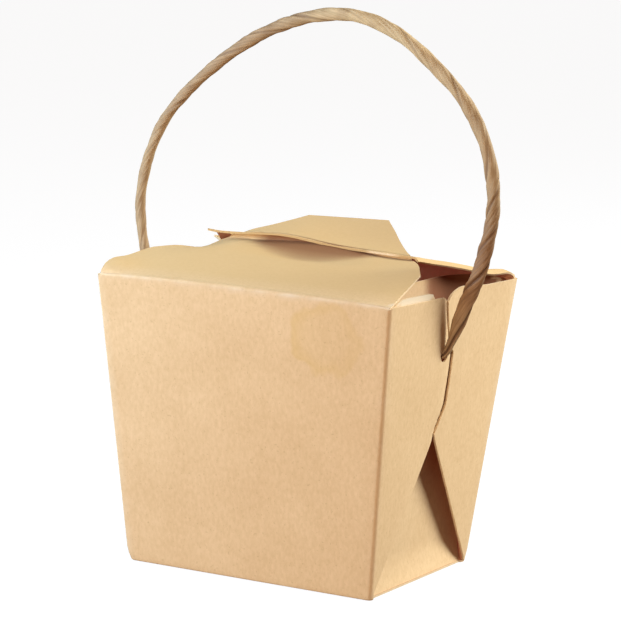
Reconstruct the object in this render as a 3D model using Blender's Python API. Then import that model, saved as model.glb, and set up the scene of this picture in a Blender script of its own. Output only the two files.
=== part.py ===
"""A shut takeaway pail of kraft board with a twisted paper handle.

Z is up and the origin is the middle of the base's underside. The wide front wall faces -Y,
and the folded sides, where the corner webs lie over each other, face -X and +X.
"""

import math

import bmesh
import bpy
from mathutils import Vector

MM = 0.001

# The tapered body, measured over the outside of the board.
TOP_WIDTH = 94 * MM
TOP_DEPTH = 81 * MM
BASE_WIDTH = 79 * MM
BASE_DEPTH = 60 * MM
HEIGHT = 85 * MM
BOARD = 0.6 * MM
LAYER_GAP = 0.3 * MM
SIDE_RISE = 1.2 * MM  # how far the side walls stand above the front and back walls
RISE_START = 35.5 * MM  # the rise begins this far from the middle and is whole at RISE_FULL
RISE_FULL = 31 * MM

# The corner webs. Places on a side are (y, height), on the outer face of the web.
APEX = (-2.9 * MM, 43.6 * MM)  # where the two diagonal folds meet
SEAM_TOP = -5.4 * MM
SEAM_LOW = 3.1 * MM
SEAM_END = (2.6 * MM, 51.6 * MM)
NOTCH_LEFT = 67.3 * MM
NOTCH_DEEP = (-3.9 * MM, 64.6 * MM)
NOTCH_RIGHT = (1.4 * MM, 68.4 * MM)
WEB_STEP = 0.7 * MM  # how far the back web lies below the front web at the seam
SLOT_DEPTH = 34 * MM  # how far down the layers of a side stand apart

# The lid. Heights are above the rim.
FLAP_INSET = 0.4 * MM
FRONT_SHOULDER = (43.6 * MM, -16.7 * MM)
TONGUE_TIP = (14.3 * MM, 19.6 * MM)
BACK_EDGE = 38 * MM  # half the width of the back flap's free edge, which is at y = 0
SLIT_FRONT = 3.2 * MM
SLIT_BACK = 7.2 * MM
SLIT_SHARE = 0.73  # the slit's share of the back flap's width
DUST_FLAP = 23 * MM
DUST_SLOPE = math.radians(11)
DUST_ROOT = 33 * MM
DUST_TIP = 25 * MM

# The handle and the holes that it turns in.
CORD_RADIUS = 2.0 * MM
PIVOT = Vector((0, -3.2 * MM, 67.6 * MM))
HOLE_RADIUS = 2.45 * MM
KNOT_RADIUS = 3.6 * MM
KNOT_X = 38.7 * MM
CORD_SIDES = 12
CORD_RINGS = 150
CORD_TURNS = 17
# The handle's middle line from the left end to the right one, as (x, height) in millimetres.
HANDLE_LINE = (
    (-36, 67.6), (-44.5, 67.6), (-48.0, 69.4), (-49.8, 76), (-53.6, 85), (-56.5, 95),
    (-56.9, 106), (-53.9, 119), (-46.3, 131.6), (-32.5, 143.8), (-15.5, 154.3),
    (5, 160.2), (24, 156.2), (37.5, 148.3), (47.5, 138), (54.5, 126), (57.1, 112),
    (55.3, 99.5), (52.2, 89), (50.0, 80), (48.6, 73.2), (46.9, 68.8), (43.5, 67.6), (36, 67.6),
)

KRAFT = (0.72, 0.52, 0.32, 1)
PAPER_CORD = (0.42, 0.27, 0.15, 1)


def half_width(z):
    """Half the width over the outer web at a height."""
    return (BASE_WIDTH + (TOP_WIDTH - BASE_WIDTH) * z / HEIGHT) / 2


def half_depth(z):
    """Half the depth over the front and back walls at a height."""
    return (BASE_DEPTH + (TOP_DEPTH - BASE_DEPTH) * z / HEIGHT) / 2


def clear_scene():
    for obj in list(bpy.data.objects):
        bpy.data.objects.remove(obj, do_unlink=True)


def make_material(name, colour, roughness):
    material = bpy.data.materials.new(name)
    material.use_nodes = True
    shader = material.node_tree.nodes["Principled BSDF"]
    shader.inputs["Base Color"].default_value = colour
    shader.inputs["Roughness"].default_value = roughness
    shader.inputs["Metallic"].default_value = 0
    return material


def make_object(name, bm, material=None):
    """An object from a bmesh. Without a material it is a helper, which isn't rendered."""
    bmesh.ops.recalc_face_normals(bm, faces=bm.faces)
    mesh = bpy.data.meshes.new(name)
    bm.to_mesh(mesh)
    bm.free()
    obj = bpy.data.objects.new(name, mesh)
    bpy.context.scene.collection.objects.link(obj)
    if material:
        mesh.materials.append(material)
    else:
        obj.hide_render = True
        obj.display_type = "WIRE"
    return obj


def loft(rings):
    """A closed solid through rings of equally many points, capped at both ends."""
    bm = bmesh.new()
    loops = [[bm.verts.new(p) for p in ring] for ring in rings]
    count = len(loops[0])
    for low, high in zip(loops, loops[1:]):
        for i in range(count):
            j = (i + 1) % count
            bm.faces.new((low[i], low[j], high[j], high[i]))
    bm.faces.new(reversed(loops[0]))
    bm.faces.new(loops[-1])
    return bm


def frustum_ring(z, inset_x, inset_y):
    x = half_width(z) - inset_x
    y = half_depth(z) - inset_y
    return [(-x, -y, z), (x, -y, z), (x, y, z), (-x, y, z)]


def join(target, helper, operation):
    boolean = target.modifiers.new(helper.name, "BOOLEAN")
    boolean.operation = operation
    boolean.solver = "EXACT"
    boolean.object = helper


def side_solid(side, outline, shallow, deep):
    """A solid behind an outline of (y, height) on one side, between two depths.

    A depth is a function of y. It is measured from the web's outer face into the pail.
    """
    rings = [
        [(side * (half_width(z) - depth(y)), y, z) for y, z in outline]
        for depth in (shallow, deep)
    ]
    return loft(rings)


def outside(_):
    return -4 * MM


def at_depth(depth):
    return lambda _: depth


# ---- the body ----


def make_body(material):
    """The four walls and the base. A side is as thick as its wall and both web layers."""
    top = HEIGHT + SIDE_RISE
    side = 3 * BOARD + 2 * LAYER_GAP
    body = make_object("carton", loft([frustum_ring(0, 0, 0), frustum_ring(top, 0, 0)]), material)
    inside = loft([frustum_ring(BOARD, side, BOARD), frustum_ring(top + 5 * MM, side, BOARD)])
    join(body, make_object("inside_space", inside), "DIFFERENCE")
    above = top + 5 * MM
    outline = ((TOP_DEPTH, HEIGHT), (RISE_START, HEIGHT), (RISE_FULL, top), (RISE_FULL, above),
               (TOP_DEPTH, above))
    for name, sign in (("front", -1), ("back", 1)):
        trim = loft([[(x, sign * y, z) for y, z in outline] for x in (-TOP_WIDTH, TOP_WIDTH)])
        join(body, make_object(f"{name}_rim_trim", trim), "DIFFERENCE")
    return body


def seam_outline():
    """The back web as it shows behind the front web's free edge, down into the triangle."""
    top = HEIGHT + 6 * MM
    below = 3 * MM
    return [
        (SEAM_TOP, top),
        (SEAM_TOP, NOTCH_LEFT),
        NOTCH_DEEP,
        NOTCH_RIGHT,
        (SEAM_LOW, NOTCH_RIGHT[1] - 3 * MM),
        SEAM_END,
        (APEX[0], APEX[1] - below),
        (half_depth(0) - 2 * below, -below),
        (half_depth(top), -below),
        (half_depth(top), top),
    ]


def back_web_depth(y):
    """The back web comes up from under the front web to the back corner."""
    away = half_depth(HEIGHT) - y
    return WEB_STEP * away / (half_depth(HEIGHT) - SEAM_TOP) - 0.05 * MM


def triangle_outline():
    """The open triangle from below the base's corners up to the apex."""
    outline = [APEX]
    for sign in (-1, 1):
        foot = sign * (half_depth(0) - BOARD)
        outline.append((foot + 0.1 * (foot - APEX[0]), -0.1 * APEX[1]))
    return outline


def fold_sides(body):
    """Cuts the webs' outlines, the open triangle and the gaps between layers into both sides."""
    pitch = BOARD + LAYER_GAP
    top = HEIGHT + 6 * MM
    overlap = 1.5 * MM
    for name, side in (("left", -1), ("right", 1)):
        web = side_solid(side, seam_outline(), outside, back_web_depth)
        join(body, make_object(f"{name}_back_web", web), "DIFFERENCE")

        pocket = side_solid(side, triangle_outline(), outside, at_depth(2 * pitch))
        join(body, make_object(f"{name}_triangle", pocket), "DIFFERENCE")

        front_trim = [(-TOP_DEPTH, HEIGHT), (SEAM_TOP, HEIGHT), (SEAM_TOP, top), (-TOP_DEPTH, top)]
        trim = side_solid(side, front_trim, outside, at_depth(pitch - 0.1 * MM))
        join(body, make_object(f"{name}_web_trim", trim), "DIFFERENCE")

        for layer in (1, 2):
            deep = layer * pitch
            start = -half_depth(HEIGHT - SLOT_DEPTH) + overlap
            for part, low, high in (
                ("front", start, SEAM_TOP - overlap),
                ("back", -SEAM_TOP, -start),
            ):
                foot_z = HEIGHT - SLOT_DEPTH
                outline = [(low, foot_z), (high, foot_z), (high, top), (low, top)]
                slot = side_solid(side, outline, at_depth(deep - LAYER_GAP), at_depth(deep))
                join(body, make_object(f"{name}_{part}_gap_{layer}", slot), "DIFFERENCE")


def bore_holes(body):
    reach = TOP_WIDTH
    ring = []
    for i in range(20):
        angle = math.tau * (i + 0.5) / 20
        ring.append((PIVOT.y + HOLE_RADIUS * math.cos(angle), PIVOT.z + HOLE_RADIUS * math.sin(angle)))
    bore = loft([[(x, y, z) for y, z in ring] for x in (-reach, reach)])
    join(body, make_object("cord_bore", bore), "DIFFERENCE")


# ---- the lid ----


def spaced(breaks, counts):
    """Numbers from the first break to the last, with equal steps between breaks."""
    line = [breaks[0]]
    for low, high, count in zip(breaks, breaks[1:], counts):
        line += [low + (high - low) * (i + 1) / count for i in range(count)]
    return line


def sheet(name, rows, hole=None):
    """A helper sheet of board through rows of points, without the cells that hole() names."""
    bm = bmesh.new()
    grid = [[bm.verts.new(p) for p in row] for row in rows]
    for r in range(len(grid) - 1):
        for c in range(len(grid[0]) - 1):
            if hole and hole(r, c):
                continue
            bm.faces.new((grid[r][c], grid[r][c + 1], grid[r + 1][c + 1], grid[r + 1][c]))
    obj = make_object(name, bm)
    solidify = obj.modifiers.new("board", "SOLIDIFY")
    solidify.thickness = BOARD
    solidify.offset = 0
    return obj


def back_flap_height(x, y):
    """The back flap rises from the back rim to an uneven free edge, curled up at its left end."""
    wave = 1.5 * MM * math.exp(-(((x + 10 * MM) / (13 * MM)) ** 2))
    curl = 16 * max(0, -x - 31 * MM) ** 2
    edge = 9.35 * MM - 0.02 * x + wave + curl
    return edge * (1 - (max(0, y) / crease_y()) ** 1.35)


def crease_y():
    return half_depth(HEIGHT) - BOARD / 2


def front_flap_height(x, y):
    """The front flap rises to the slit, where its middle dips, and leaves it as a raised tongue."""
    edge = 8.05 * MM - 0.02 * x
    dip = 1.3 * MM * (1 - min(1, abs(x) / (24 * MM)) ** 2) ** 2
    share = min(1, (y + crease_y()) / crease_y())
    if y <= 0:
        near = min(1, max(0, (share - 0.5) / 0.5))
        return edge * (1 - max(0, 1 - share) ** 1.6) - dip * near * near * (3 - 2 * near)
    through = back_flap_height(x, SLIT_BACK) + BOARD + 0.35 * MM
    tip = 15 * MM + 0.03 * x
    slope = (tip - through) / (TONGUE_TIP[1] - SLIT_BACK)
    if y >= SLIT_BACK:
        return through + slope * (y - SLIT_BACK)
    u = y / SLIT_BACK
    rise = u * u * (3 - 2 * u)
    return (edge - dip) * (1 - rise) + through * rise + slope * SLIT_BACK * (u**3 - u**2)


def front_flap_half(y):
    """The front flap's sides run nearly straight to the shoulders, then taper to the tip."""
    shoulder_x, shoulder_y = FRONT_SHOULDER
    if y <= shoulder_y:
        root = half_width(HEIGHT) - FLAP_INSET
        share = (y + crease_y()) / (shoulder_y + crease_y())
        return root + (shoulder_x - root) * share
    share = (y - shoulder_y) / (TONGUE_TIP[1] - shoulder_y)
    return shoulder_x + (TONGUE_TIP[0] - shoulder_x) * share


def add_lid(body):
    root = HEIGHT - BOARD
    columns = spaced((-1, 1), (20,))
    rows = []
    for y in spaced((-crease_y(), FRONT_SHOULDER[1], 0, SLIT_BACK, TONGUE_TIP[1]), (5, 5, 5, 4)):
        xs = [t * front_flap_half(y) for t in columns]
        rows.append([(x, y, root + front_flap_height(x, y)) for x in xs])
    join(body, sheet("front_flap", rows), "UNION")

    columns = spaced((-1, -SLIT_SHARE, SLIT_SHARE, 1), (3, 16, 3))
    lines = spaced((0, SLIT_FRONT, SLIT_BACK, crease_y()), (2, 1, 8))
    rows = []
    for y in lines:
        wide = BACK_EDGE + (half_width(HEIGHT) - FLAP_INSET - BACK_EDGE) * y / crease_y()
        rows.append([(t * wide, y, root + back_flap_height(t * wide, y)) for t in columns])

    def in_slit(r, c):
        return lines[r] == SLIT_FRONT and abs(columns[c] + columns[c + 1]) < 2 * SLIT_SHARE

    join(body, sheet("back_flap", rows, in_slit), "UNION")

    for name, side in (("left", -1), ("right", 1)):
        start = half_width(HEIGHT) - 2 * (BOARD + LAYER_GAP) - BOARD / 2
        rows = []
        for share in spaced((0, 1), (4,)):
            reach = share * DUST_FLAP
            x = side * (start - reach * math.cos(DUST_SLOPE))
            z = HEIGHT + SIDE_RISE - BOARD - reach * math.sin(DUST_SLOPE)
            wide = DUST_ROOT + (DUST_TIP - DUST_ROOT) * share**2
            rows.append([(x, wide * t, z) for t in spaced((-1, 1), (6,))])
        join(body, sheet(f"{name}_dust_flap", rows), "UNION")


# ---- the handle ----


def smooth_line(points, count):
    """Evenly spaced points on a smooth curve through the given ones."""
    ends = [2 * points[0] - points[1], *points, 2 * points[-1] - points[-2]]
    fine = []
    for a, b, c, d in zip(ends, ends[1:], ends[2:], ends[3:]):
        for i in range(40):
            t = i / 40
            fine.append(
                0.5 * (2 * b + (c - a) * t + (2 * a - 5 * b + 4 * c - d) * t**2
                       + (3 * b - a - 3 * c + d) * t**3)
            )
    fine.append(points[-1])
    along = [0]
    for a, b in zip(fine, fine[1:]):
        along.append(along[-1] + (b - a).length)
    line, k = [], 0
    for i in range(count + 1):
        at = along[-1] * i / count
        while k < len(fine) - 2 and along[k + 1] < at:
            k += 1
        share = (at - along[k]) / max(along[k + 1] - along[k], 1e-9)
        line.append(fine[k].lerp(fine[k + 1], share))
    return line


def cord_radius(at, angle, twist):
    """The cord's two plies show as two soft lobes. Its ends are knotted inside the pail."""
    lobes = CORD_RADIUS * (0.94 + 0.06 * math.cos(2 * (angle - twist)))
    away = (abs(at.x) - KNOT_X) / KNOT_RADIUS
    if abs(away) >= 1 or abs(at.z) > KNOT_RADIUS:
        return lobes
    knot = KNOT_RADIUS * math.sqrt(1 - away * away)
    return max(lobes, knot) if away > 0 else knot


def make_handle(material):
    """The cord lies in the plane of its pivot, and its object stands on the pivot."""
    points = [Vector((x * MM, 0, z * MM - PIVOT.z)) for x, z in HANDLE_LINE]
    points[0].x = 0.97 * KNOT_RADIUS - KNOT_X
    points[-1].x = -points[0].x
    rings = []
    line = smooth_line(points, CORD_RINGS)
    for i, at in enumerate(line):
        before, after = line[max(i - 1, 0)], line[min(i + 1, len(line) - 1)]
        along = (after - before).normalized()
        across = Vector((0, 1, 0))
        up = along.cross(across)
        twist = math.tau * CORD_TURNS * i / len(line)
        ring = []
        for k in range(CORD_SIDES):
            angle = math.tau * k / CORD_SIDES
            radius = cord_radius(at, angle, twist)
            ring.append(at + radius * (math.cos(angle) * up + math.sin(angle) * across))
        rings.append(ring)
    handle = make_object("cord_handle", loft(rings), material)
    handle.location = PIVOT
    handle.data.shade_smooth()
    handle.data.set_sharp_from_angle(angle=math.radians(40))
    return handle


def main():
    clear_scene()
    board = make_material("kraft_board", KRAFT, 0.8)
    cord = make_material("paper_cord", PAPER_CORD, 0.75)
    body = make_body(board)
    fold_sides(body)
    bore_holes(body)
    add_lid(body)
    make_handle(cord)


main()
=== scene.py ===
import math

import bpy
from mathutils import Matrix, Vector, noise


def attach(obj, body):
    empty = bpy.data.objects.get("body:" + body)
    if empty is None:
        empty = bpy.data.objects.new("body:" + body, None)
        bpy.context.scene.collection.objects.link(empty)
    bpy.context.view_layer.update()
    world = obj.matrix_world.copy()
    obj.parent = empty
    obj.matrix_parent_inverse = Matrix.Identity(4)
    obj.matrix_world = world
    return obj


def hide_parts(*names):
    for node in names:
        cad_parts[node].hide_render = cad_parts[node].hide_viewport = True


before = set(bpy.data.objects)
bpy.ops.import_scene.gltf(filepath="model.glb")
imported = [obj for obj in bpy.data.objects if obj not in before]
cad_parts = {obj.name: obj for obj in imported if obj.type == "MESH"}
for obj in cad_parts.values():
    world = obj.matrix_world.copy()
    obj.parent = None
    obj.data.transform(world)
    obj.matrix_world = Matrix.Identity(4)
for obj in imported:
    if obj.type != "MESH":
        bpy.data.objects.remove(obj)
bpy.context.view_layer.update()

scene = bpy.context.scene
mm = 0.001


# Small tools

def deselectAll():
    if bpy.context.mode != "OBJECT":
        bpy.ops.object.mode_set(mode="OBJECT")
    bpy.ops.object.select_all(action="DESELECT")


def activate(obj):
    deselectAll()
    obj.select_set(True)
    bpy.context.view_layer.objects.active = obj


def applyModifier(obj, kind, settings):
    activate(obj)
    modifier = obj.modifiers.new(kind.lower(), kind)
    for name, value in settings.items():
        setattr(modifier, name, value)
    bpy.ops.object.modifier_apply(modifier=modifier.name)


def joinInto(first, others):
    activate(first)
    for other in others:
        other.select_set(True)
    bpy.ops.object.join()
    return first


def pickFaces(obj, test):
    # leaves edit mode on with only the faces that pass the test selected
    activate(obj)
    bpy.ops.object.mode_set(mode="EDIT")
    bpy.ops.mesh.select_mode(type="FACE")
    bpy.ops.mesh.select_all(action="DESELECT")
    bpy.ops.object.mode_set(mode="OBJECT")
    for face in obj.data.polygons:
        face.select = test(face)
    bpy.ops.object.mode_set(mode="EDIT")


def newAttributes(obj, kinds):
    # all of them are made before any is used, because a new one moves the others in memory
    for name, kind in kinds.items():
        obj.data.attributes.new(name, kind, "POINT")
    return [obj.data.attributes[name] for name in kinds]


def easeStep(low, high, value):
    # 0 up to low, 1 from high on; the other way round where low is the larger
    share = min(1.0, max(0.0, (value - low) / (high - low)))
    return share * share * (3 - 2 * share)


def alongLine(points, at):
    # the second number of each pair, read off a bent line at the first
    if at <= points[0][0]:
        return points[0][1]
    for (startAt, startValue), (endAt, endValue) in zip(points, points[1:]):
        if at <= endAt:
            return startValue + (endValue - startValue) * (at - startAt) / max(1e-9, endAt - startAt)
    return points[-1][1]


def swell(x, y, spot):
    # a soft round rise, or a dip if its height is below 0
    height, atX, atY, reachX, reachY = spot
    return height * math.exp(-((x - atX) / reachX) ** 2 - ((y - atY) / reachY) ** 2)


def linearColour(hexCode):
    channels = [int(hexCode[at:at + 2], 16) / 255 for at in (1, 3, 5)]
    return tuple(c / 12.92 if c <= 0.04045 else ((c + 0.055) / 1.055) ** 2.4 for c in channels) + (1.0,)


def addNode(tree, kind, settings=None, links=None):
    node = tree.nodes.new(kind)
    for name, value in (settings or {}).items():
        if isinstance(name, int) or name in node.inputs:
            node.inputs[name].default_value = value
        else:
            setattr(node, name, value)
    for name, source in (links or {}).items():
        tree.links.new(source, node.inputs[name])
    return node


def newMaterial(name):
    material = bpy.data.materials.new(name)
    material.use_nodes = True
    material.node_tree.nodes.clear()
    return material, material.node_tree


# Camera

cameraSettings = {
    "turn": 28.457,      # degrees round the pail from straight in front
    "rise": 8.837,       # degrees above the horizon
    "roll": 2.330,
    "distance": 0.8703,  # metres
    "lens": 173.9,
    "aimHeight": 0.07281,
    "aimSide": 0.000362,
}


def addCamera(settings):
    turn, rise = math.radians(settings["turn"]), math.radians(settings["rise"])
    side = Vector((math.cos(turn), math.sin(turn), 0))
    back = Vector((math.sin(turn) * math.cos(rise), -math.cos(turn) * math.cos(rise), math.sin(rise)))
    aim = Vector((0, 0, settings["aimHeight"])) + side * settings["aimSide"]
    facing = (Matrix.Rotation(turn, 3, "Z") @ Matrix.Rotation(math.pi / 2 - rise, 3, "X")
              @ Matrix.Rotation(math.radians(settings["roll"]), 3, "Z"))
    deselectAll()
    bpy.ops.object.camera_add(location=aim + back * settings["distance"], rotation=facing.to_euler())
    camera = bpy.context.object
    camera.name = "studioCamera"
    camera.data.lens = settings["lens"]
    camera.data.sensor_width = 36
    camera.data.sensor_fit = "HORIZONTAL"
    camera.data.clip_end = 60
    scene.camera = camera


addCamera(cameraSettings)
print("camera placed")


# Light and floor

studio = {
    "lights": {      # metres and watts
        "rightKey": {"towards": (0.66, 0.55, 0.51), "distance": 0.95, "size": 0.55, "power": 17.3,
                     "tint": "#f5ffff"},
        "leftKey": {"towards": (-0.25, -0.20, 0.13), "distance": 0.34, "size": 0.16, "power": 1.7,
                    "tint": "#bbdfff"},
        "frontFill": {"towards": (0.10, -0.99, 0.08), "distance": 1.20, "size": 0.50, "power": 11.8,
                      "tint": "#ffeeda"},
    },
    "lightAim": (0, 0, 0.05),
    "roomTint": "#ffccb4",
    "roomStrength": 0.18,
    "floorRadius": 9.0,
    "floorDrop": 0.0002,       # keeps the floor just clear of the base
    "floorPaper": (0.93, "#5c5d60"),      # glow and tone
    "surroundPaper": (1.0, "#101010"),
}


def addLight(name, settings):
    towards = Vector(settings["towards"]).normalized()
    aim = Vector(studio["lightAim"])
    facing = towards.to_track_quat("Z", "Y").to_euler()
    deselectAll()
    bpy.ops.object.light_add(type="AREA", location=aim + towards * settings["distance"], rotation=facing)
    light = bpy.context.object
    light.name = name
    light.data.shape = "DISK"
    light.data.size = settings["size"]
    light.data.energy = settings["power"]
    light.data.color = linearColour(settings["tint"])[:3]
    light.visible_camera = False


def paintPaper(obj, glow, tone):
    # matt white backdrop paper, lit evenly all over
    paper, tree = newMaterial(obj.name + "Paper")
    surface = addNode(tree, "ShaderNodeBsdfPrincipled", {
        "Base Color": linearColour(tone), "Roughness": 0.9, "Specular IOR Level": 0.0,
        "Emission Color": (1, 1, 1, 1), "Emission Strength": glow})
    addNode(tree, "ShaderNodeOutputMaterial", links={"Surface": surface.outputs[0]})
    obj.data.materials.append(paper)


def addBackdrop():
    deselectAll()
    bpy.ops.mesh.primitive_circle_add(vertices=96, radius=studio["floorRadius"], fill_type="NGON",
                                      location=(0, 0, -studio["floorDrop"]))
    floor = bpy.context.object
    floor.name = "studioFloor"
    paintPaper(floor, *studio["floorPaper"])
    deselectAll()
    bpy.ops.mesh.primitive_uv_sphere_add(segments=48, ring_count=24, radius=studio["floorRadius"] * 1.02)
    surround = bpy.context.object
    surround.name = "studioSurround"
    paintPaper(surround, *studio["surroundPaper"])
    surround.visible_shadow = False
    for obj in (floor, surround):
        obj.visible_diffuse = False   # the white paper throws no glare back on the board
        obj.visible_glossy = False


def addRoom():
    room = bpy.data.worlds.new("studioRoom")
    room.use_nodes = True
    air = room.node_tree.nodes["Background"]
    air.inputs["Color"].default_value = linearColour(studio["roomTint"])
    air.inputs["Strength"].default_value = studio["roomStrength"]
    scene.world = room


for lightName, lightSettings in studio["lights"].items():
    addLight(lightName, lightSettings)
addBackdrop()
addRoom()
scene.view_settings.view_transform = "Standard"
print("light and floor placed")


# Finishes of the board

boardFinish = {
    "light": "#dab98e",
    "deep": "#c9a67a",
    "speck": "#a98459",
    # painted shade: the inside faces are a darker, redder brown than the outside
    "inside": "#c08660",
    "cut": "#e3cca8",
    # rubbed pale folds and corners, with a painted highlight along the top folds
    "wornAndHighlit": "#dccab0",
    # painted shade under the back flap's edge and in the open sides of the lid
    "paintedTuckShade": "#79472a",
    # the painted shade of the lid flaps
    "lid": "#c8a570",
    # painted shade on the cut edge along the front of the lid's top flap
    "rim": "#b79362",
    "stain": "#c79f57",
    # the painted glow of the inside faces, its colour and strength
    "glow": "#ff896e",
    "paintedGlowStrength": 0.06,
    "fibre": 0.95,               # mm between the fibre clumps that show
    "fibreTall": 0.55,           # the clumps are drawn out upwards by this
    "blotch": 16,                # mm
    "speckSize": 2 / 3,          # mm
    "tornSize": 5 / 7,           # mm between the torn tufts of a cut edge
    "reliefDepth": 0.08,         # mm
    "roughness": 0.82,
    "cutRoughness": 0.9,
    "lidFrom": 84.7,             # mm up, where the lid's painted shade sets in, and where it is whole
    "lidWhole": 87.5,
    "stainCentre": (26.5, 73.5),   # mm across and up the front
    "stainReach": (12.0, 10.5),
    "stainDeep": -39.3,          # mm, where the front wall lies at that height
    "stainWander": 9.0,          # mm that its outline wanders, over stretches of wanderSize
    "wanderSize": 100 / 13,
    "stainRing": [(0.6, 0.26), (0.8, 0.5), (0.88, 0.62), (0.93, 0.4)],   # how strong, from its centre out
    "stainMiddle": 0.22,
    "stainFade": (16, 40),       # mm across, over which its strength falls
    "stainStrength": (0.62, 0.25),
    "frontWallFrom": -34.5,      # mm, what lies nearer than this is the front wall
}


def fibreTone(tree, place, finish, inside):
    # pressed wood fibre: soft clumps, wider blotches and a few dark specks
    streaked = addNode(tree, "ShaderNodeMapping", {"Scale": (1, 1, finish["fibreTall"])}, {"Vector": place})
    fibre = addNode(tree, "ShaderNodeTexNoise", {"Scale": 1 / (finish["fibre"] * mm), "Detail": 3.0,
                    "Roughness": 0.62}, {"Vector": streaked.outputs[0]})
    blotch = addNode(tree, "ShaderNodeTexNoise", {"Scale": 1 / (finish["blotch"] * mm), "Detail": 2.0},
                     {"Vector": place})
    speck = addNode(tree, "ShaderNodeTexNoise", {"Scale": 1 / (finish["speckSize"] * mm), "Detail": 1.0},
                    {"Vector": place})
    fibreShare = addNode(tree, "ShaderNodeMapRange", {"From Min": 0.3, "From Max": 0.7},
                         {"Value": fibre.outputs[0]})
    blotchShare = addNode(tree, "ShaderNodeMapRange", {"From Min": 0.3, "From Max": 0.7, "To Max": 0.3},
                          {"Value": blotch.outputs[0]})
    depth = addNode(tree, "ShaderNodeMath", {"operation": "MULTIPLY_ADD", 1: 0.62},
                    {0: fibreShare.outputs[0], 2: blotchShare.outputs[0]})
    # the inside faces take darker, redder colours, as painted shade
    base = addNode(tree, "ShaderNodeMix", {"data_type": "RGBA",
                   6: linearColour(finish["inside"] if inside else finish["light"]),
                   7: linearColour(finish["speck"] if inside else finish["deep"])}, {0: depth.outputs[0]})
    speckShare = addNode(tree, "ShaderNodeMapRange", {"From Min": 0.66, "From Max": 0.76, "To Max": 0.35},
                         {"Value": speck.outputs[0]})
    colour = addNode(tree, "ShaderNodeMix", {"data_type": "RGBA", 7: linearColour(finish["speck"])},
                     {0: speckShare.outputs[0], 6: base.outputs[2]})
    return colour, fibre


def lidAndFoldTone(tree, axes, colour, finish):
    # painted shade: the lid flaps are darker and yellower than the walls
    lidShare = addNode(tree, "ShaderNodeMapRange", {"From Min": finish["lidFrom"] * mm,
                       "From Max": finish["lidWhole"] * mm, "To Max": 0.7}, {"Value": axes.outputs["Z"]})
    colour = addNode(tree, "ShaderNodeMix", {"data_type": "RGBA", 7: linearColour(finish["lid"])},
                     {0: lidShare.outputs[0], 6: colour.outputs[2]})
    # the folds are rubbed pale, and the top folds also carry a painted highlight
    wornAndHighlit = addNode(tree, "ShaderNodeAttribute", {"attribute_name": "foldWearAndHighlight"})
    colour = addNode(tree, "ShaderNodeMix", {"data_type": "RGBA", 7: linearColour(finish["wornAndHighlit"])},
                     {0: wornAndHighlit.outputs["Fac"], 6: colour.outputs[2]})
    # painted shade: the board is darkened where it goes in under the other flap, and in the open sides of
    # the lid
    paintedTuckShade = addNode(tree, "ShaderNodeAttribute", {"attribute_name": "tuckShade"})
    return addNode(tree, "ShaderNodeMix", {"data_type": "RGBA", 7: linearColour(finish["paintedTuckShade"])},
                   {0: paintedTuckShade.outputs["Fac"], 6: colour.outputs[2]})


def greaseStain(tree, place, axes, colour, finish):
    # a faint soaked-in ring of grease on the front wall, strongest at its rim
    across, up = finish["stainCentre"]
    wide, tall = finish["stainReach"]
    drift = finish["stainWander"] * mm
    wander = addNode(tree, "ShaderNodeTexNoise", {"Scale": 1 / (finish["wanderSize"] * mm), "Detail": 2.0},
                     {"Vector": place})
    pushed = addNode(tree, "ShaderNodeVectorMath", {"operation": "MULTIPLY_ADD", 1: (drift, 0.0, drift)},
                     {0: wander.outputs["Color"], 2: place})
    centred = addNode(tree, "ShaderNodeMapping", {"vector_type": "TEXTURE",
                      "Location": (across * mm + drift / 2, finish["stainDeep"] * mm, up * mm + drift / 2),
                      "Scale": (wide * mm, 1.0, tall * mm)}, {"Vector": pushed.outputs[0]})
    reach = addNode(tree, "ShaderNodeVectorMath", {"operation": "LENGTH"}, {0: centred.outputs[0]})
    ring = addNode(tree, "ShaderNodeValToRGB", links={0: reach.outputs["Value"]})
    stops = ring.color_ramp.elements
    stops[0].position, stops[0].color = 0.0, (finish["stainMiddle"],) * 3 + (1,)
    stops[1].position, stops[1].color = 1.0, (0, 0, 0, 1)
    for position, level in finish["stainRing"]:
        stops.new(position).color = (level, level, level, 1)
    onFront = addNode(tree, "ShaderNodeMath", {"operation": "LESS_THAN", 1: finish["frontWallFrom"] * mm},
                      {0: axes.outputs["Y"]})
    fadeFrom, fadeTo = finish["stainFade"]
    strong, weak = finish["stainStrength"]
    fade = addNode(tree, "ShaderNodeMapRange", {"From Min": fadeFrom * mm, "From Max": fadeTo * mm,
                   "To Min": strong, "To Max": weak}, {"Value": axes.outputs["X"]})
    share = addNode(tree, "ShaderNodeMath", {"operation": "MULTIPLY"},
                    {0: ring.outputs[0], 1: onFront.outputs[0]})
    share = addNode(tree, "ShaderNodeMath", {"operation": "MULTIPLY"},
                    {0: share.outputs[0], 1: fade.outputs[0]})
    return addNode(tree, "ShaderNodeMix", {"data_type": "RGBA", 7: linearColour(finish["stain"])},
                   {0: share.outputs[0], 6: colour.outputs[2]})


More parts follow.
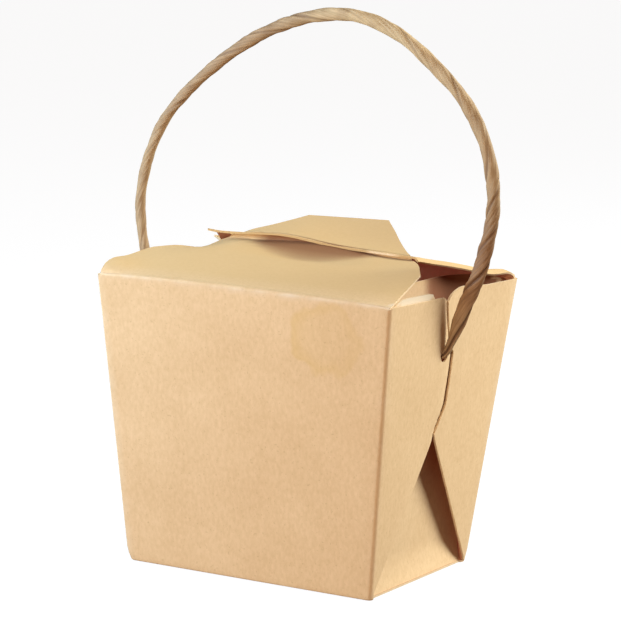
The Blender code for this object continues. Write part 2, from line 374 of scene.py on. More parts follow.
def kraftBoard(name, finish, inside):
    # unbleached kraft board, pressed and uncoated: matt, mottled with fibre clumps drawn out upwards
    board, tree = newMaterial(name)
    place = addNode(tree, "ShaderNodeTexCoord").outputs["Object"]
    colour, fibre = fibreTone(tree, place, finish, inside)
    if not inside:
        axes = addNode(tree, "ShaderNodeSeparateXYZ", links={0: place})
        colour = lidAndFoldTone(tree, axes, colour, finish)
        colour = greaseStain(tree, place, axes, colour, finish)
    relief = addNode(tree, "ShaderNodeBump", {"Strength": 0.25, "Distance": finish["reliefDepth"] * mm},
                     {"Height": fibre.outputs[0]})
    # painted glow: the inside faces give off a little warm light, so the inside is never quite black
    surface = addNode(tree, "ShaderNodeBsdfPrincipled", {"Roughness": finish["roughness"], "IOR": 1.45,
                      "Specular IOR Level": 0.25, "Emission Color": linearColour(finish["glow"]),
                      "Emission Strength": finish["paintedGlowStrength"] if inside else 0.0},
                      {"Base Color": colour.outputs[2], "Normal": relief.outputs[0]})
    addNode(tree, "ShaderNodeOutputMaterial", links={"Surface": surface.outputs[0]})
    return board


def cutBoardEdge(finish):
    # the die-cut edge of the board: paler than the faces, with the layers of fibre torn a little
    edge, tree = newMaterial("cutBoardEdge")
    place = addNode(tree, "ShaderNodeTexCoord").outputs["Object"]
    torn = addNode(tree, "ShaderNodeTexNoise", {"Scale": 1 / (finish["tornSize"] * mm), "Detail": 2.0},
                   {"Vector": place})
    colour = addNode(tree, "ShaderNodeMix", {"data_type": "RGBA", 6: linearColour(finish["cut"]),
                     7: linearColour(finish["deep"])}, {0: torn.outputs[0]})
    # painted shade: along the front of the lid's top flap the cut edge is darkened to the board's brown, but
    # for a short stretch left pale
    rimShadeShare = addNode(tree, "ShaderNodeAttribute", {"attribute_name": "rimShade"})
    colour = addNode(tree, "ShaderNodeMix", {"data_type": "RGBA", 7: linearColour(finish["rim"])},
                     {0: rimShadeShare.outputs["Fac"], 6: colour.outputs[2]})
    surface = addNode(tree, "ShaderNodeBsdfPrincipled", {"Roughness": finish["cutRoughness"],
                      "Specular IOR Level": 0.2}, {"Base Color": colour.outputs[2]})
    addNode(tree, "ShaderNodeOutputMaterial", links={"Surface": surface.outputs[0]})
    return edge


boardMaterials = [kraftBoard("kraftBoardOutside", boardFinish, False),
                  kraftBoard("kraftBoardInsideShaded", boardFinish, True), cutBoardEdge(boardFinish)]


# The folded carton

carton = {
    "topWidth": 94.0, "topDepth": 81.0, "baseWidth": 79.0, "baseDepth": 60.0, "height": 85.0,   # mm
    "board": 0.6,
    "cornerRadius": 1.3,         # the front corner on the right, which is the roundest
    "sharpRadius": 0.8,
    "leftSpread": [(0.0, 0.0), (3.0, 1.1), (85.0, 0.5)],   # the left corners stand out a little further
    "backCorner": 0.7,           # so does the right back one
    "unevenness": 0.5,

    # the webs folded over each side: mm up, and mm back from the middle
    "apex": (-2.9, 43.6),        # where the two diagonal folds meet, back and up
    # the seam between the webs, up and back
    "seam": [(43.6, -2.9), (51.6, 2.6), (61.0, 3.2), (67.2, 3.1), (68.2, 1.9), (68.9, -0.6),
             (72.0, -0.8), (76.0, -2.2), (80.0, -3.5), (85.0, -4.9)],
    "seamLap": 4.5,              # how far the front web runs on under the back one
    "seamGap": 0.6,              # and the gap between them above the hole
    "webStep": 0.95,             # how far the front web steps in under the back one
    "hole": (-2.6, 67.0, 2.2),   # back, up, and its radius
    "trueUpTo": 72.0,            # above this the walls are drawn out to their uneven tops
    # the webs' top edges, back and up
    "frontWebTop": [(-40.0, 84.6), (-24.0, 84.25), (-10.0, 84.05), (-7.0, 83.9), (-5.5, 83.1)],
    "backWebTop": [(-4.9, 82.6), (-3.0, 84.3), (0.0, 85.4), (3.5, 86.0), (12.0, 85.6), (20.0, 84.7),
                   (41.0, 84.3)],
    "cornerTop": (84.6, 0.5),    # and how much lower the walls are than the corners
    "creaseBow": 0.85,           # how far the top folds stand proud in their middles

    # the walls behind the webs: mm up, and how far in they stand; then the inner layer of the front web
    "sideLean": [(0.0, 1.1), (3.0, 2.4), (8.0, 3.7), (20.0, 4.5), (31.0, 5.2), (44.0, 6.3), (60.0, 8.6),
                 (86.3, 13.0)],
    "sideTop": 86.3,
    "sideCornerDrop": 2.2,
    "layerGap": 1.05,
    "innerFoot": 50, "innerReach": 36.9,
    "innerTop": [(-38.6, 84.4), (-36.0, 85.1), (-33.0, 86.0), (-30.0, 86.2), (-16.0, 85.9), (-13.8, 85.6),
                 (-12.4, 84.6), (-11.7, 83.0)],

    # the lid: places are mm across and mm back from the middle, and heights are mm above flapBase
    "flapInset": 0.4,
    "foldFoot": 84.1,            # where the top folds leave the walls, and their middle, mm up
    "foldMiddle": 84.2,
    "foldRadius": 0.75,
    "foldTurn": 78,              # degrees
    "flapBase": 84.75,
    "edgeTilt": 0.02,            # the flaps' edges fall by this to the right
    "frontEdgeHeight": 8.05,
    "backEdgeHeight": 9.35,
    "edgeRise": (1.5, -10, 13),  # the back edge's height, place and reach left of the middle
    "endCurl": (0.016, 31),      # how it curls up at its left end, and from where
    "leftSag": 3.6,
    "rightSag": 0.5,
    "frontShoulder": (43.6, -16.7),
    "tongueTip": (14.3, 19.6),
    "tipHeight": (15.2, 0.035),  # and its tilt
    "tongueLift": 2.6,           # how far behind the back flap's edge the tongue has come up
    # how far the front flap's sides stand out, by mm back
    "rightBow": [(-16.7, 0.0), (-10.0, 1.6), (-5.0, 2.6), (0.0, 2.9), (5.0, 2.1), (10.0, 1.5), (15.0, 1.1),
                 (19.6, 0.2)],
    "leftBow": [(0.0, 0.0), (5.0, -1.0), (10.0, -1.7), (19.6, -2.2)],
    "neck": (1.0, 24),           # its middle and half its width
    "neckDip": 2.2,
    "neckLift": 1.3,
    # each swell is its height, its place across and back, and its reach across and back
    "frontSwells": [(1.1, 42, -12, 9, 10), (-1.2, -42, -14, 9, 9), (-2.8, -33.5, -5, 6.5, 7)],
    "edgeSwell": (0.3, -29.5, 0, 4, 4),
    "cornerSwell": (2.2, -46.5, -36, 7, 6),
    "sunkenShoulder": (0.9, -27, 3.5, 5, 2.5),
    "backEdge": (38.0, 34.6),    # half the width of the back flap's edge, left and right
    "barb": [(0.0, 35.1), (0.8, 34.2), (1.6, 32.8), (6.4, 33.5), (14.0, 41.0)],   # its left end is a hook
    "slit": (1.6, 6.4, 29.0, 32.4),    # from and to, back from the edge, then how far left and right
    "backSwell": (1.5, 45, 37, 6, 5),
    "backDroop": 1.2,            # of its right edge

    # how the grids of the sheets are divided
    "webColumns": 18, "cornerColumns": 6, "wallColumns": 40,
    "sideColumns": 36, "innerColumns": 14, "innerRows": 24, "flapColumns": 60, "foldRows": 5,
}
# the walls' rows: mm up, and mm that the rounded foot draws in
levels = ([(0.0, 1.2), (0.0, 0.5), (0.05, 0.22), (0.2, 0.06), (0.5, 0.0)]
          + [(2.0 + 2.0 * step, 0.0) for step in range(30)]
          + [(60.75 + 0.75 * step, 0.0) for step in range(16)]
          + [(73.5 + 1.5 * step, 0.0) for step in range(6)]
          + [(82.0, 0.0), (83.2, 0.0), (84.2, 0.0), (85.0, 0.0)])


def halfWidth(z):
    return (carton["baseWidth"] + (carton["topWidth"] - carton["baseWidth"]) * z / carton["height"]) / 2


def halfDepth(z):
    return (carton["baseDepth"] + (carton["topDepth"] - carton["baseDepth"]) * z / carton["height"]) / 2


crease = halfDepth(carton["height"]) - 0.3     # the lid's folds, mm to the front and back
flapRoot = halfWidth(carton["height"]) - carton["flapInset"]


def foldSheet(name, across, along, place):
    # a flat blank of board, laid out as a grid and then folded to its place
    deselectAll()
    bpy.ops.mesh.primitive_grid_add(x_subdivisions=across, y_subdivisions=along, size=1)
    sheet = bpy.context.object
    sheet.name = name
    for vert in sheet.data.vertices:
        column, row = round((vert.co.x + 0.5) * across), round((vert.co.y + 0.5) * along)
        vert.co = Vector(place(column, row)) * mm
    middle = Vector((0, 0, 0.04))
    facing = sum(face.normal.dot(face.center - middle) * face.area for face in sheet.data.polygons)
    if facing < 0:
        bpy.ops.object.mode_set(mode="EDIT")
        bpy.ops.mesh.select_all(action="SELECT")
        bpy.ops.mesh.flip_normals()
        bpy.ops.object.mode_set(mode="OBJECT")
    return sheet


def aboveHole(z):
    return easeStep(67.5, 69.0, z)


def frontWebFree(z):
    middle, high = carton["apex"]
    foot = carton["baseDepth"] / 2
    if z < high:
        return -foot + (foot + middle) * z / high
    over = aboveHole(z)       # there the two webs only meet
    lap = carton["seamLap"] * easeStep(high, high + 7, z) * (1 - over)
    return alongLine(carton["seam"], z) + lap - carton["seamGap"] * over


def backWebFree(z):
    middle, high = carton["apex"]
    foot = carton["baseDepth"] / 2
    if z < high:
        return foot + (middle - foot) * z / high
    return alongLine(carton["seam"], z)


def webPoint(z, share, wide, root, front):
    free = frontWebFree(z) if front else -backWebFree(z)
    edge = max(free, root + 0.12)
    y = edge + (root - edge) * share ** 1.6
    x = wide
    if front:
        toSeam = y - alongLine(carton["seam"], z)
        over = aboveHole(z)
        x -= carton["webStep"] * easeStep(-2.5, 0.0, toSeam) * easeStep(40, 48, z) * (1 - 0.8 * over)
        x -= 0.25 * easeStep(-3.2, -0.6, toSeam) * easeStep(70, 82, z)
    return x, y


def creaseBow(x):
    # the top folds stand a little proud between the corners
    return carton["creaseBow"] * max(0.0, 1 - (x / 46) ** 2) ** 0.6


def shellPoint(column, row, front):
    # half of the outside: a web, a corner, the front or back wall, a corner and a web
    z, inset = levels[row]
    webs, corners, walls = carton["webColumns"], carton["cornerColumns"], carton["wallColumns"] // 2
    half = webs + corners + walls
    side = -1 if column < half else 1
    step = half - abs(column - half)       # 0 at the free edge, half in the middle of the wall
    radius = carton["cornerRadius"] if front and side > 0 else carton["sharpRadius"]
    wide, deep = halfWidth(z) - inset, halfDepth(z) - inset
    wide += alongLine(carton["leftSpread"], z) if side < 0 else 0.0
    corner = carton["backCorner"] * easeStep(0, 4, z) if side > 0 and not front else 0.0
    deep += corner
    cornerTop, drop = carton["cornerTop"]
    if step <= webs:
        x, y = webPoint(z, step / webs, wide, -deep + radius, front)
        top = alongLine(carton["frontWebTop"], y) if front else alongLine(carton["backWebTop"], -y)
    elif step <= webs + corners:
        angle = math.pi / 2 * (step - webs) / corners
        x = wide - radius + radius * math.cos(angle)
        y = -deep + radius - radius * math.sin(angle)
        top = cornerTop - drop * (step - webs) / corners
    else:
        share = (step - webs - corners) / walls
        x = (wide - radius) * (1 - share)
        y = -deep + corner * share
        seed = 4.0 if front else 9.0
        lift = carton["unevenness"] * noise.noise(Vector((x * side * 0.03, seed, z * 0.03)))
        y -= lift * math.sin(math.pi * min(1, z / 85)) * math.sin(math.pi * share / 2 + 0.4)
        top = cornerTop - drop + creaseBow(x * side)
    low = carton["trueUpTo"]
    if z > low:
        z = low + (z - low) * (top - low) / (carton["height"] - low)
    return (side * x, y if front else -y, z)


def frontFlapHalf(y, side):
    (shoulder, shoulderAt), (tip, tipAt) = carton["frontShoulder"], carton["tongueTip"]
    if y < shoulderAt:
        return flapRoot + (shoulder - flapRoot) * (y + crease) / (shoulderAt + crease)
    half = shoulder + (tip - shoulder) * (y - shoulderAt) / (tipAt - shoulderAt)
    return half + alongLine(carton["rightBow" if side > 0 else "leftBow"], y)


def backFlapHalf(y, side):
    front = carton["backEdge"][side > 0]
    half = front + (flapRoot - front) * max(0.0, y) / crease
    return half if side > 0 else min(half, alongLine(carton["barb"], y))


def backFlapHeight(x, y):
    # the free edge stands highest left of the middle and curls up at its left end
    high, middle, reach = carton["edgeRise"]
    curl, curlFrom = carton["endCurl"]
    edge = (carton["backEdgeHeight"] - carton["edgeTilt"] * x + high * math.exp(-((x - middle) / reach) ** 2)
            + curl * max(0.0, -x - curlFrom) ** 2)
    share = max(0.0, y) / crease
    leftSag = carton["leftSag"] * easeStep(0.6, 6.5, y) * easeStep(-26, -34, x)
    rightSag = carton["rightSag"] * easeStep(0, 6, y) * easeStep(20, 36, x)
    rise = swell(x, y, carton["backSwell"]) * easeStep(1.03, 0.96, share)
    return edge * (1 - share ** 1.35) - (leftSag + rightSag) * (1 - share) + rise


def frontFlapHeight(x, y):
    # the flap dips a little before the other one's edge, then climbs under it
    middle, half = carton["neck"]
    neck = (1 - min(1, abs(x - middle) / half) ** 2) ** 2
    share = min(1.0, (y + crease) / crease)
    edge = carton["frontEdgeHeight"] - carton["edgeTilt"] * x
    dip, climb = carton["neckDip"], carton["neckDip"] + carton["neckLift"]
    scoop = neck * (dip * easeStep(-19, -7, y) - climb * easeStep(-8, 0.5, y))
    under = edge * (1 - (1 - share) ** 1.6) - scoop
    under += (sum(swell(x, y, spot) for spot in carton["frontSwells"])
              + swell(x, min(0.0, y), carton["edgeSwell"])
              + swell(x, y, carton["cornerSwell"]) * easeStep(-0.03, 0.045, share))
    if y <= 0:
        return under
    # behind the edge it has come up through the slit as a tongue
    lift = carton["tongueLift"]
    through = backFlapHeight(x, lift) + 0.3
    tipHeight, tipTilt = carton["tipHeight"]
    tip = tipHeight + tipTilt * x
    out = max(0.0, (y - lift) / (carton["tongueTip"][1] - lift))
    rise = easeStep(1.3, lift, y)
    sunk = swell(x, y, carton["sunkenShoulder"])
    return under * (1 - rise) + (through + (tip - through) * out ** 1.5 - sunk) * rise


def foldedFlap(rows, halfAt, heightAt, front):
    # rows of the pair (True, share of the way round the top fold) or (False, mm back from the middle)
    def place(column, row):
        u = column / (carton["flapColumns"] // 2) - 1
        inFold, y = rows[row]
        if inFold:
            x, share = u * flapRoot, y
            if share == 0:
                out, up = halfDepth(carton["foldFoot"]), carton["foldFoot"]
            else:
                angle = math.radians(carton["foldTurn"]) * share
                out = halfDepth(carton["foldMiddle"]) - carton["foldRadius"] * (1 - math.cos(angle))
                up = carton["foldMiddle"] + carton["foldRadius"] * math.sin(angle)
            return (x, -out if front else out, up + creaseBow(x))
        x = u * halfAt(y, u)
        away = abs(y) / crease if (y < 0) == front else 0.0
        z = carton["flapBase"] + heightAt(x, y) + creaseBow(x) * away ** 3
        if not front and column == carton["flapColumns"]:
            z -= carton["backDroop"] * easeStep(40, 34, y)
        return (x, y, z)
    return place


def makeShells():
    columns = 2 * (carton["webColumns"] + carton["cornerColumns"]) + carton["wallColumns"]
    frontShell = foldSheet("frontShell", columns, len(levels) - 1, lambda i, j: shellPoint(i, j, True))
    backShell = foldSheet("backShell", columns, len(levels) - 1, lambda i, j: shellPoint(i, j, False))
    return [frontShell, backShell]


def makeSide(side):
    # the wall behind the webs leans in towards its top, but less at its corners
    rows = [(z, inset) for z, inset in levels if z < 84.5] + [(carton["sideTop"], 0.0)]
    columns = carton["sideColumns"]

    def sidePanel(column, row):
        z, inset = rows[row]
        share = column / columns * 2 - 1
        y = share * (halfDepth(z) - 1.3 - inset)
        gap = carton["layerGap"]
        lean = alongLine(carton["sideLean"], z)
        near = gap + (lean - gap) * (1 - 0.8 * easeStep(0.42, 1.0, abs(share)) * easeStep(30, 70, z))
        top = carton["sideTop"] - carton["sideCornerDrop"] * easeStep(0.78, 1.0, abs(share))
        return (side * (halfWidth(z) - inset - near), y, min(z, top))

    def innerWeb(column, row):
        foot = carton["innerFoot"]
        z = foot + carton["innerReach"] * row / carton["innerRows"]
        y = -halfDepth(z) + 2.2 + column / carton["innerColumns"] * (halfDepth(z) - 14.0)
        top = alongLine(carton["innerTop"], y)
        return (side * (halfWidth(z) - 0.75), y, foot + (top - foot) * row / carton["innerRows"])

    return [foldSheet("sidePanel", columns, len(rows) - 1, sidePanel),
            foldSheet("innerWeb", carton["innerColumns"], carton["innerRows"], innerWeb)]


def makeBase():
    return foldSheet("basePanel", 24, 18, lambda i, j: (
        (i / 12 - 1) * (halfWidth(0) - 1.1), (j / 9 - 1) * (halfDepth(0) - 1.1), 0.0))


def makeLid():
    fold = [(True, step / carton["foldRows"]) for step in range(carton["foldRows"] + 1)]
    reach = crease - 0.55
    frontAt = ([-crease + 0.55 + reach * (step / 24) for step in range(25)]
               + [0.5, 0.9, 1.3, 1.6, 1.9, 2.2, 2.6, 3.1, 3.9]
               + [4.8 + 14.8 * step / 10 for step in range(11)])
    frontRows = fold + [(False, y) for y in frontAt]
    low, high, reachLeft, reachRight = carton["slit"]
    backAt = [0.0, 0.8, low, high] + [high + (reach - high) * step / 22 for step in range(1, 23)]
    backRows = [(False, y) for y in backAt] + fold[::-1]
    columns = carton["flapColumns"]
    frontFlap = foldSheet("frontFlap", columns, len(frontRows) - 1,
                          foldedFlap(frontRows, frontFlapHalf, frontFlapHeight, True))
    backFlap = foldSheet("backFlap", columns, len(backRows) - 1,
                         foldedFlap(backRows, backFlapHalf, backFlapHeight, False))
    pickFaces(backFlap, lambda face: low * mm < face.center.y < high * mm
              and -reachLeft * mm < face.center.x < reachRight * mm)
    bpy.ops.mesh.delete(type="FACE")
    bpy.ops.object.mode_set(mode="OBJECT")
    return [frontFlap, backFlap]


def punchHoles(shells):
    # the holes in both webs, where the cord goes in
    y, z, radius = carton["hole"]
    for side in (-1, 1):
        deselectAll()
        bpy.ops.mesh.primitive_cylinder_add(vertices=32, radius=radius * mm, depth=9 * mm,
                                            location=(side * 45 * mm, y * mm, z * mm),
                                            rotation=(0, math.pi / 2, 0))
        punch = bpy.context.object
        for shell in shells:
            applyModifier(shell, "BOOLEAN", {"operation": "DIFFERENCE", "object": punch, "solver": "EXACT"})
        bpy.data.objects.remove(punch)


boardShade = {
    "foldWearAndHighlight": 0.55, "foldReach": 0.6,        # how pale the top folds are, as wear and painted highlight, and over how many mm
    "cornerWear": 0.22, "cornerReach": 1.2,
    "innerPale": 0.85,                         # the strip of the inner web that shows over the outer one
    "lensShadeStrength": 0.86, "lensMiddle": 1.0, "lensHalf": 21.5,    # painted shade where the tongue goes in under the flap
    "gapShade": 0.22, "gapDeeper": 0.75,       # painted shade in the open side of the lid, in front and behind
}


# the top folds are pale from wear and a painted highlight, the corners are rubbed pale, and the inner web's
# strip is pale
def wearAndHighlightAt(place):
    x, y, z = (number * 1000 for number in place)
    inward = halfWidth(z) - abs(x)
    toTop = math.hypot(abs(y) - crease - 0.2, z - 84.8)
    toCorner = math.hypot(inward, abs(y) - halfDepth(z))
    rough = 0.6 + 0.8 * noise.noise(place * 220)
    pale = boardShade["innerPale"] if 0.6 < inward < 0.9 and -39.5 < y < -11.0 and z > 84.2 else 0.0
    return max(pale, min(1.0, rough * max(
        boardShade["foldWearAndHighlight"] * math.exp(-(toTop / boardShade["foldReach"]) ** 2),
        boardShade["cornerWear"] * math.exp(-(toCorner / boardShade["cornerReach"]) ** 2))))


# painted shade: dark in the open sides of the lid, and on the front flap where it goes in under the back
# flap's edge
def paintedShadeAt(place):
    x, y, z = (number * 1000 for number in place)
    gap = 0.0
    if 28 < abs(x) < 43 and 74 < z < 86.4 and -30 < y < min(36.5, 33.5 + 0.9 * (86.4 - z)):
        gap = boardShade["gapShade"] + boardShade["gapDeeper"] * easeStep(3.0, 10.0, y)
    boardMiddle = carton["flapBase"] - carton["board"] / 2
    if not 88 < z < 96 or abs(z - boardMiddle - frontFlapHeight(x, y)) >= 0.75:    # off the front flap
        return gap
    neck = max(0.0, 1 - ((x - boardShade["lensMiddle"]) / boardShade["lensHalf"]) ** 2)
    lens = easeStep(-3.0 - 8.0 * neck, -2.0, y) * easeStep(2.6, 1.9, y) * min(1.0, neck * 2.2)
    return max(gap, boardShade["lensShadeStrength"] * lens)


# painted shade on the top flap's front cut edge, all but a short stretch
def rimAt(place):
    x, y, z = (number * 1000 for number in place)
    unshadedStretch = easeStep(17, 20, x) * easeStep(29, 26, x)
    return 1 - unshadedStretch if -2 < y < 8 and z > 91 else 0.0


def shadeBoard(folded):
    wornAndHighlit, paintedTuckShade, rim = newAttributes(
        folded, {"foldWearAndHighlight": "FLOAT", "tuckShade": "FLOAT", "rimShade": "FLOAT"})
    for at, vert in enumerate(folded.data.vertices):
        wornAndHighlit.data[at].value = wearAndHighlightAt(vert.co)
        paintedTuckShade.data[at].value = paintedShadeAt(vert.co)
        rim.data[at].value = rimAt(vert.co)


def makeCarton():
    shells = makeShells()
    sheets = shells + makeSide(-1) + makeSide(1) + [makeBase()] + makeLid()
    print("board folded:", len(sheets), "sheets")
    for sheet in sheets:
        for material in boardMaterials:
            sheet.data.materials.append(material)
        applyModifier(sheet, "SOLIDIFY", {"thickness": carton["board"] * mm, "offset": -1,
                                          "use_even_offset": True, "material_offset": 1,
                                          "material_offset_rim": 2})
    punchHoles(shells)
    folded = joinInto(sheets[0], sheets[1:])
    folded.name = "foldedCarton"
    bpy.ops.object.shade_smooth_by_angle(angle=math.radians(38))
    shadeBoard(folded)
    return folded


foldedCarton = makeCarton()
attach(foldedCarton, "pail")
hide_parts("carton")
print("carton done:", len(foldedCarton.data.polygons), "faces")


# The twisted paper handle

handle = {
    "route": [(-40.4, 67.6), (-42.5, 67.6), (-44.5, 67.6), (-48.0, 69.4), (-50.2, 76), (-53.9, 85),
              (-56.2, 94.6), (-56.5, 105), (-53.9, 116.3), (-48.5, 127.4), (-38.2, 138.7), (-24.6, 149.3),
              (-11.6, 156.2), (1.3, 160.0), (14.1, 160.4), (27.0, 156.0), (38.2, 148.2), (47.9, 139.3),
              (54.6, 128.7), (57.9, 117.8), (58.3, 106.1), (55.4, 92.3), (52.7, 85.2), (50.3, 78.6),
              (48.4, 73.2), (46.3, 68.2), (43.8, 66.5), (42, 67.2), (40.4, 67.6)],       # mm, across and up
    "plane": -3.2,
    # from here each pair is a share of the way along the handle, then the value there
    "halfThick": [(0.0, 1.1), (0.03, 1.2), (0.07, 1.5), (0.3, 1.55), (0.45, 1.75), (0.6, 1.85), (0.84, 1.9),
                  (0.89, 2.1), (0.945, 2.0), (0.972, 1.2), (1.0, 1.1)],
    "tone": [(0.0, 0.6), (0.22, 0.6), (0.3, 0.7), (0.42, 0.72), (0.46, 0.5), (0.5, 0.12), (0.58, 0.0),
             (0.64, 0.3), (0.74, 0.5), (0.8, 0.62), (0.85, 0.95), (0.88, 1.15), (0.91, 1.0), (0.94, 0.75),
             (1.0, 0.7)],        # 0 gives the pale colours, 1 the brown ones
    "creased": [(0.0, 0.4), (0.75, 0.5), (0.82, 0.85), (0.9, 1.15), (1.0, 1.2)],
    "flatness": [(0.0, 0.15), (0.8, 0.12), (0.86, 0.25), (0.93, 0.4), (0.97, 0.1), (1.0, 0.0)],
    "turns": [(0.0, 0.0), (0.1, 0.9), (0.5, 4.7), (0.62, 5.5), (0.78, 6.6), (0.86, 7.6), (0.92, 8.2),
              (1.0, 8.5)],       # whole turns so far
    "grooves": [(0.2, 0.34, 0.30), (3.4, 0.30, 0.26), (1.25, 0.12, 0.13), (2.1, 0.10, 0.11),
                (2.8, 0.06, 0.09), (4.3, 0.12, 0.12), (5.1, 0.08, 0.10),
                (5.75, 0.10, 0.12)],   # place, depth, width round the strip
    "around": 64, "rings": 860,
    "knotAt": (39.6, 67.6), "knotRing": 1.7, "knotThick": 1.25,    # inside the pail, mm
}


def smoothRoute(points, count):
    # points evenly spread along a Catmull-Rom curve
    dense = []
    for at in range(1, len(points) - 2):
        a, b, c, d = (Vector(points[at + step]) for step in (-1, 0, 1, 2))
        for part in range(40):
            t = part / 40
            dense.append(0.5 * (2 * b + (c - a) * t + (2 * a - 5 * b + 4 * c - d) * t * t
                                + (3 * b - a - 3 * c + d) * t ** 3))
    dense.append(Vector(points[-2]))
    lengths = [0.0]
    for a, b in zip(dense, dense[1:]):
        lengths.append(lengths[-1] + (b - a).length)
    spread, at = [], 0
    for step in range(count):
        want = lengths[-1] * step / (count - 1)
        while at < len(lengths) - 2 and lengths[at + 1] < want:
            at += 1
        share = (want - lengths[at]) / max(1e-9, lengths[at + 1] - lengths[at])
        spread.append(dense[at].lerp(dense[at + 1], min(1.0, share)))
    return spread, lengths[-1]


def grooveAt(strip, share):
    # the creases of the crumpled strip, which wander and come and go along it
    groove = 0.0
    for place, deep, wide in handle["grooves"]:
        wander = 0.35 * noise.noise(Vector((place * 3.1, share * 22, 0.5)))
        gap = (strip - place - wander + math.pi) % (2 * math.pi) - math.pi
        strong = 0.75 + 0.6 * noise.noise(Vector((place * 7.7, share * 30, 3.5)))
        groove += deep * strong * math.exp(-(gap / wide) ** 2)
    return groove * alongLine(handle["creased"], share)


def twistStrip(cord, line, length):
    # lobes and folds turn with the twist as the strip is laid along the route
    foldDepth, stripPlace, tone = newAttributes(
        cord, {"foldDepth": "FLOAT", "stripPlace": "FLOAT_VECTOR", "paperTone": "FLOAT"})
    rings = handle["rings"]
    across = Vector((0, 1, 0))
    for at, vert in enumerate(cord.data.vertices):
        theta = (vert.co.x + 0.5) * 2 * math.pi
        ring = round((vert.co.y + 0.5) * rings)
        share = ring / rings
        centre = line[ring]
        ahead = line[min(rings, ring + 1)] - line[max(0, ring - 1)]
        up = Vector((ahead.x, 0, ahead.y)).normalized().cross(across)
        strip = (theta - 2 * math.pi * alongLine(handle["turns"], share)) % (2 * math.pi)
        groove = grooveAt(strip, share)
        lump = 0.07 * noise.noise(Vector((math.cos(strip) * 1.4, math.sin(strip) * 1.4, share * 60)))
        shape = 1.02 + 0.07 * math.cos(2 * strip - 0.7) - groove + lump
        radius = alongLine(handle["halfThick"], share) * shape
        flat = alongLine(handle["flatness"], share)
        vert.co = (Vector((centre.x, handle["plane"], centre.y))
                   + across * radius * math.cos(theta) * (1 - flat)
                   + up * radius * math.sin(theta) * (1 + 0.25 * flat)) * mm
        foldDepth.data[at].value = groove
        stripPlace.data[at].vector = (2 * math.cos(strip), 2 * math.sin(strip), share * length * 0.05)
        tone.data[at].value = alongLine(handle["tone"], share)


def closeCord(cord):
    # welds the strip's long edges and caps both ends
    activate(cord)
    bpy.ops.object.mode_set(mode="EDIT")
    bpy.ops.mesh.select_all(action="SELECT")
    bpy.ops.mesh.remove_doubles(threshold=0.000002)
    bpy.ops.mesh.select_mode(type="EDGE")
    bpy.ops.mesh.select_all(action="DESELECT")
    bpy.ops.mesh.select_non_manifold()
    bpy.ops.mesh.fill_holes(sides=0)
    bpy.ops.mesh.select_all(action="SELECT")
    bpy.ops.mesh.normals_make_consistent(inside=False)
    bpy.ops.object.mode_set(mode="OBJECT")
    bpy.ops.object.shade_smooth()


def makeKnot(side):
    x, z = handle["knotAt"]
    deselectAll()
    bpy.ops.mesh.primitive_torus_add(major_segments=28, minor_segments=14,
                                     major_radius=handle["knotRing"] * mm,
                                     minor_radius=handle["knotThick"] * mm,
                                     location=(side * x * mm, handle["plane"] * mm, z * mm),
                                     rotation=(0.3, math.pi / 2 + 0.25 * side, 0))
    knot = bpy.context.object
    bpy.ops.object.transform_apply()
    bpy.ops.object.shade_smooth()
    return knot


def makeHandle():
    line, length = smoothRoute(handle["route"], handle["rings"] + 1)
    deselectAll()
    bpy.ops.mesh.primitive_grid_add(x_subdivisions=handle["around"], y_subdivisions=handle["rings"], size=1)
    cord = bpy.context.object
    twistStrip(cord, line, length)
    closeCord(cord)
    joinInto(cord, [makeKnot(-1), makeKnot(1)])
    cord.name = "twistedHandle"
    print("handle twisted, %.0f mm of cord" % length)
    return cord


handleFinish = {
    "light": "#d1b68c", "mid": "#b59c72",
    "brown": "#9a744e", "brownMid": "#76553b",
    "paintedFoldShade": "#5f4029",
    "fibre": 0.45,        # between fibres, in the strip's own measure
    "mottle": 3.125,      # mm
    "reliefDepth": 0.12,  # mm
    "roughness": 0.7,
}


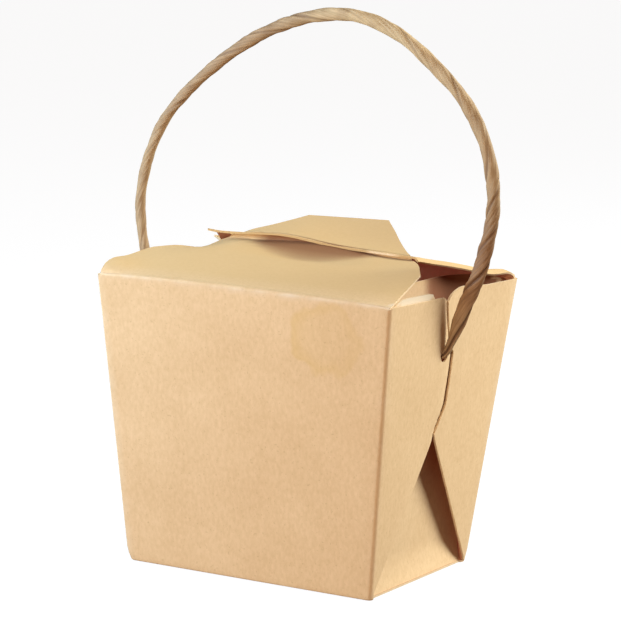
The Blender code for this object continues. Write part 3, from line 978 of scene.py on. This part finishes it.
def twistedPaper(finish):
    # brown paper strip twisted into a cord: matt, fibres running along the strip, with painted shade in its
    # folds
    paper, tree = newMaterial("twistedPaperCord")
    along = addNode(tree, "ShaderNodeAttribute", {"attribute_name": "stripPlace"}).outputs["Vector"]
    fold = addNode(tree, "ShaderNodeAttribute", {"attribute_name": "foldDepth"}).outputs["Fac"]
    tone = addNode(tree, "ShaderNodeAttribute", {"attribute_name": "paperTone"}).outputs["Fac"]
    place = addNode(tree, "ShaderNodeTexCoord").outputs["Object"]
    fibre = addNode(tree, "ShaderNodeTexNoise", {"Scale": 1 / finish["fibre"], "Detail": 4.0,
                    "Roughness": 0.65}, {"Vector": along})
    mottle = addNode(tree, "ShaderNodeTexNoise", {"Scale": 1 / (finish["mottle"] * mm), "Detail": 2.0},
                     {"Vector": place})
    fibreShare = addNode(tree, "ShaderNodeMapRange", {"From Min": 0.32, "From Max": 0.68},
                         {"Value": fibre.outputs[0]})
    # some stretches of the strip are paler and yellower than others
    pale = addNode(tree, "ShaderNodeMix", {"data_type": "RGBA", 6: linearColour(finish["light"]),
                   7: linearColour(finish["mid"])}, {0: fibreShare.outputs[0]})
    brown = addNode(tree, "ShaderNodeMix", {"data_type": "RGBA", 6: linearColour(finish["brown"]),
                    7: linearColour(finish["brownMid"])}, {0: fibreShare.outputs[0]})
    colour = addNode(tree, "ShaderNodeMix", {"data_type": "RGBA"},
                     {0: tone, 6: pale.outputs[2], 7: brown.outputs[2]})
    patch = addNode(tree, "ShaderNodeMapRange", {"From Min": 0.4, "From Max": 0.75, "To Max": 0.35},
                    {"Value": mottle.outputs[0]})
    colour = addNode(tree, "ShaderNodeMix", {"data_type": "RGBA", 7: linearColour(finish["brownMid"])},
                     {0: patch.outputs[0], 6: colour.outputs[2]})
    # painted shade, darker the deeper the fold
    shaded = addNode(tree, "ShaderNodeMapRange", {"From Min": 0.04, "From Max": 0.26, "To Max": 0.9},
                     {"Value": fold})
    colour = addNode(tree, "ShaderNodeMix", {"data_type": "RGBA", 7: linearColour(finish["paintedFoldShade"])},
                     {0: shaded.outputs[0], 6: colour.outputs[2]})
    relief = addNode(tree, "ShaderNodeBump", {"Strength": 0.35, "Distance": finish["reliefDepth"] * mm},
                     {"Height": fibre.outputs[0]})
    surface = addNode(tree, "ShaderNodeBsdfPrincipled", {"Roughness": finish["roughness"],
                      "Specular IOR Level": 0.3},
                      {"Base Color": colour.outputs[2], "Normal": relief.outputs[0]})
    addNode(tree, "ShaderNodeOutputMaterial", links={"Surface": surface.outputs[0]})
    return paper


twistedHandle = makeHandle()
twistedHandle.data.materials.append(twistedPaper(handleFinish))
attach(twistedHandle, "handle")
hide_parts("cord_handle")
print("handle done:", len(twistedHandle.data.polygons), "faces")
